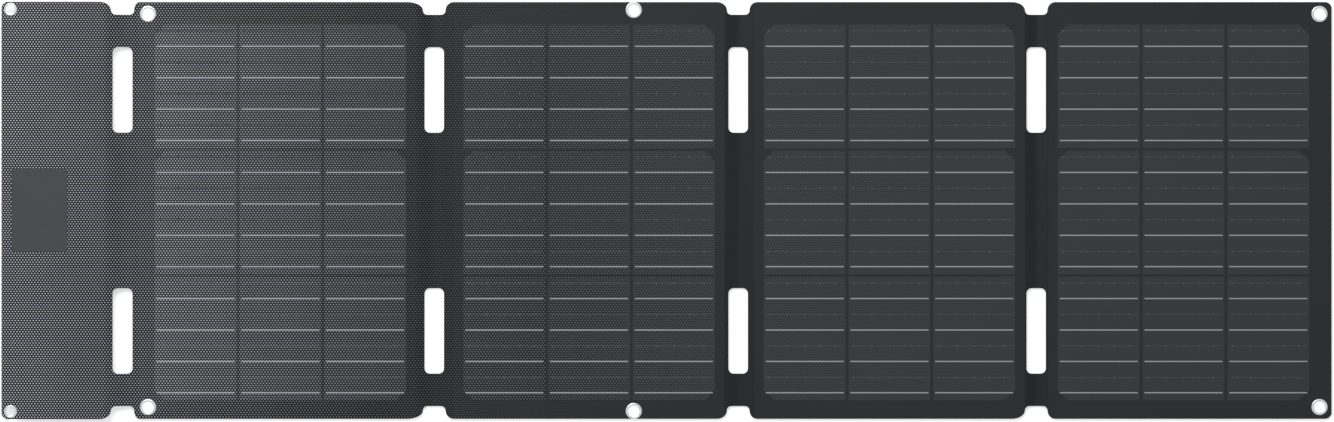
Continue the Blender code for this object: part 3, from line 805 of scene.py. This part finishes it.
cell_top = film_top + CELL_STANDS
for number in range(1, 5):
    wires = bmesh.new()
    prints = bmesh.new()
    for row in range(len(ROW_NAMES)):
        starts, cell_length, row_top = rows[(number, row)]
        for left in starts:
            inset = (cell_length - WIRE_LENGTH) / 2
            wire_left, wire_right = left + inset, left + cell_length - inset
            for drop in WIRES:
                add_strip(wires, wire_left, wire_right, row_top - drop, WIRE_WIDTH, cell_top, WIRE_HEIGHT)
            for drop in PRINTS:
                level = row_top - drop
                add_strip(prints, wire_left, wire_right, level, PRINT_WIDTH, cell_top, PRINT_HEIGHT)
                for pad in PADS:
                    pad_left, pad_right = wire_left + pad - PAD_HALF, wire_left + pad + PAD_HALF
                    add_strip(prints, pad_left, pad_right, level, 2 * PAD_HALF, cell_top, 2 * PRINT_HEIGHT)
    for kind, mesh, finish in (("wires", wires, wire_tin), ("printed_lines", prints, silver_print)):
        bmesh.ops.recalc_face_normals(mesh, faces=mesh.faces)
        lines = piece(f"panel_{number}_{kind}", mesh, finish)
        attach(lines, f"panel_{number}")


# ---- eyelets ----
# Nickel-plated brass eyelets, pressed through the film, board and fabric: a rolled flange on the front,
# a straight bore, and a flat washer let into the fabric at the back.

ROLL_STEPS = 10
EYELET_STEPS = 56
WASHER_THICKNESS = 0.00045
BORE_RADIUS = 0.0040
SMALL_BORE_RADIUS = 0.0032
BARREL_WALL = 0.0005
EYELET_EDGE = 0.0001
FLANGE_SEAT = 0.00002
BARREL_END = 0.0003
NICKEL_LIGHT = (0.93, 0.93, 0.94)
NICKEL_DULL = (0.80, 0.80, 0.81)

nickel = Finish("nickel_plate", Metallic=0.55, Roughness=0.28)
tarnish = nickel.place.noise(260.0, 4.0).ease(0.45, 0.8)
nickel.feed("Base Color", tarnish.mix(NICKEL_LIGHT, NICKEL_DULL))
nickel.feed("Roughness", 0.22 + 0.15 * tarnish)
nickel.emboss(nickel.place.noise(1800.0), 0.00001)
eyelet_bodies = {kind: body for body, kind in holders.items()}

for node, (middle, flange) in eyelets.items():
    kind = node.rsplit("_", 1)[0]
    body = eyelet_bodies[kind]
    bore = SMALL_BORE_RADIUS if kind == "flap_eyelet" else BORE_RADIUS
    node_low, node_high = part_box(node)
    face_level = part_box(f"{body}_film")[1].z + FLANGE_SEAT
    ring_middle = (bore + flange) / 2
    ring_half = (flange - bore) / 2
    rise = node_high.z - face_level
    profile = []
    for step in range(ROLL_STEPS + 1):
        turn = math.pi * step / ROLL_STEPS
        profile.append((ring_middle + ring_half * math.cos(turn), face_level + rise * math.sin(turn)))
    base = node_low.z
    profile.append((bore, base + EYELET_EDGE))
    profile.append((bore + EYELET_EDGE, base))
    profile.append((flange - EYELET_EDGE, base))
    profile.append((flange, base + EYELET_EDGE))
    profile.append((flange, base + WASHER_THICKNESS))
    profile.append((bore + BARREL_WALL, base + WASHER_THICKNESS + EYELET_EDGE))
    profile.append((bore + BARREL_WALL, face_level - BARREL_END))
    mesh = bmesh.new()
    verts = [mesh.verts.new((middle.x + reach, middle.y, height)) for reach, height in profile]
    edges = [mesh.edges.new(pair) for pair in zip(verts, verts[1:] + verts[:1])]
    bmesh.ops.spin(
        mesh,
        geom=verts + edges,
        cent=(middle.x, middle.y, 0),
        axis=(0, 0, 1),
        angle=math.tau,
        steps=EYELET_STEPS,
        use_merge=True,
    )
    bmesh.ops.remove_doubles(mesh, verts=mesh.verts, dist=WELD)
    bmesh.ops.recalc_face_normals(mesh, faces=mesh.faces)
    ring = piece(f"{node}_ring", mesh, nickel, smooth=50)
    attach(ring, body)
    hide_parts(node)


# ---- label patch ----
# A plain patch of smooth grey rubber, welded on the flap's film over the controller. It carries no
# marking, and its edge is rounded over all round.

PATCH_GREY = (0.0525, 0.0590, 0.0640)
PATCH_LIGHT = (0.0620, 0.0690, 0.0745)
PATCH_RADIUS = 0.0015
PATCH_EDGE = 0.00018

rubber_patch = Finish("patch_rubber", Roughness=0.62, Specular_IOR_Level=0.3)
patch_grain = rubber_patch.place.noise(2600.0, 3.0)
patch_cloud = rubber_patch.place.noise(40.0)
rubber_patch.feed("Base Color", patch_cloud.mix(PATCH_GREY, PATCH_LIGHT))
rubber_patch.emboss(patch_grain, 0.00002)
patch_low, patch_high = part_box("flap_patch")
corner_x, corner_y = patch_high.x - PATCH_RADIUS, patch_high.y - PATCH_RADIUS
left_x = patch_low.x + PATCH_RADIUS
points = []
corners = ((corner_x, corner_y), (left_x, corner_y), (left_x, -corner_y), (corner_x, -corner_y))
for turn, (x, y) in enumerate(corners):
    points += arc((x, y), PATCH_RADIUS, PATCH_RADIUS, 90 * turn, 90 * turn + 90)
mesh = bmesh.new()
add_plate(mesh, points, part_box("flap_film")[1].z, patch_high.z, PATCH_EDGE)
bmesh.ops.recalc_face_normals(mesh, faces=mesh.faces)
patch = piece("label_patch", mesh, rubber_patch)
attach(patch, "flap")
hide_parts("flap_patch")


# ---- charge controller ----
# A shallow moulded housing screwed from below to a lid, which is glued to the flap's back. The circuit
# board, its power parts and the two sockets sit inside, behind a rubber cover.

SHARP_ANGLE = 40.0
CASE_EDGE = 0.00035
SCREW_EDGE = 0.00015
COVER_EDGE = 0.0003
GRIP_RIBS = 5
GRIP_PITCH = 0.0022
GRIP_SIZE = (0.0009, 0.0009, 0.0030)
GRIP_HEIGHT = 0.0026
TAB_DEPTH = 0.0012
PLASTIC = (0.020, 0.021, 0.023)
PLASTIC_LIGHT = (0.034, 0.035, 0.038)
PLASTIC_RELIEF = 0.00004
FLAT_ANGLE = 2.0
MASK_GREEN = (0.012, 0.085, 0.035)
TRACE_GREEN = (0.025, 0.16, 0.065)
TRACE_RELIEF = 0.00003
CHIP_BLACK = (0.012, 0.012, 0.012)
CHIP_GREY = (0.030, 0.030, 0.030)
FERRITE_DARK = (0.070, 0.070, 0.075)
FERRITE_LIGHT = (0.160, 0.160, 0.165)
FERRITE_RELIEF = 0.00005
STEEL_DARK = (0.58, 0.58, 0.59)
STEEL_LIGHT = (0.78, 0.78, 0.78)
RUBBER_BLACK = (0.012, 0.012, 0.013)
RUBBER_BLOOM = (0.030, 0.030, 0.032)
RUBBER_RELIEF = 0.00004


def dress(node, finish):
    """Gives a node of the frame its finish."""
    made = frame["nodes"][node]
    made.data.materials.clear()
    made.data.materials.append(finish.material)


def rounded(node, name, body, finish, radius, ribs=None):
    """A piece in a node's place: the same shape with its sharp edges rounded over, and any ribs on it.

    A ribbed piece keeps its triangles, because its outer face wraps round its pull tab.
    """
    mesh = bmesh.new()
    mesh.from_mesh(frame["nodes"][node].data)
    bmesh.ops.remove_doubles(mesh, verts=mesh.verts, dist=WELD)
    if ribs:
        ribs(mesh)
    else:
        bmesh.ops.dissolve_limit(
            mesh,
            angle_limit=math.radians(FLAT_ANGLE),
            verts=mesh.verts,
            edges=mesh.edges,
        )
    sharp = [edge for edge in mesh.edges if edge.calc_face_angle(0.0) > math.radians(SHARP_ANGLE)]
    bmesh.ops.bevel(
        mesh,
        geom=sharp,
        offset=radius,
        segments=2,
        profile=0.5,
        affect="EDGES",
        material=-1,
        clamp_overlap=True,
    )
    made = piece(name, mesh, finish, smooth=SHARP_ANGLE)
    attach(made, body)
    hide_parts(node)


moulded = Finish("moulded_plastic", Roughness=0.5)
texture = moulded.place.noise(1500.0, 3.0)
moulded.feed("Base Color", texture.mix(PLASTIC, PLASTIC_LIGHT))
moulded.feed("Roughness", 0.45 + 0.2 * texture)
moulded.emboss(texture, PLASTIC_RELIEF)
rounded("controller_housing", "controller_case", "flap", moulded, CASE_EDGE)
rounded("controller_lid", "controller_top", "flap", moulded, CASE_EDGE)

solder_mask = Finish("solder_mask", Roughness=0.4)
traces = (solder_mask.place.noise(350.0, 1.0) * 9.0).to_nearest().ease(0.3, 0.4)
solder_mask.feed("Base Color", traces.mix(MASK_GREEN, TRACE_GREEN))
solder_mask.emboss(traces, TRACE_RELIEF)
dress("controller_board", solder_mask)

chip_black = Finish("chip_plastic", Roughness=0.6)
chip_black.feed("Base Color", chip_black.place.noise(2500.0).mix(CHIP_BLACK, CHIP_GREY))
dress("converter_chip", chip_black)

ferrite = Finish("ferrite", Roughness=0.7)
ferrite.feed("Base Color", ferrite.place.noise(1800.0, 4.0).mix(FERRITE_DARK, FERRITE_LIGHT))
ferrite.emboss(ferrite.place.noise(3000.0), FERRITE_RELIEF)
dress("power_inductor", ferrite)

steel = Finish("plated_steel", Metallic=1.0, Roughness=0.35)
brushing = steel.place.noise(1200.0, 3.0)
steel.feed("Base Color", brushing.mix(STEEL_DARK, STEEL_LIGHT))
steel.feed("Roughness", 0.25 + 0.25 * brushing)
for node in ("usb_a_socket", "usb_c_socket"):
    dress(node, steel)
for number in range(1, 5):
    rounded(f"housing_screw_{number}", f"case_screw_{number}", "flap", steel, SCREW_EDGE)

soft_rubber = Finish("cover_rubber", Roughness=0.8)
rubber_bloom = soft_rubber.place.noise(300.0, 4.0)
soft_rubber.feed("Base Color", rubber_bloom.mix(RUBBER_BLACK, RUBBER_BLOOM))
soft_rubber.emboss(soft_rubber.place.noise(2200.0), RUBBER_RELIEF)
cover_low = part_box("port_cover")[0]


def grip(mesh):
    """Short upright ribs on the port cover's outer face, below its pull tab."""
    for number in range(GRIP_RIBS):
        across = (number - (GRIP_RIBS - 1) / 2) * GRIP_PITCH
        place = Vector((cover_low.x + TAB_DEPTH, across, GRIP_HEIGHT))
        shape = Matrix.Translation(place) @ Matrix.Diagonal((*GRIP_SIZE, 1.0))
        bmesh.ops.create_cube(mesh, size=1.0, matrix=shape)


rounded("port_cover", "socket_cover", "port_cover", soft_rubber, COVER_EDGE, ribs=grip)
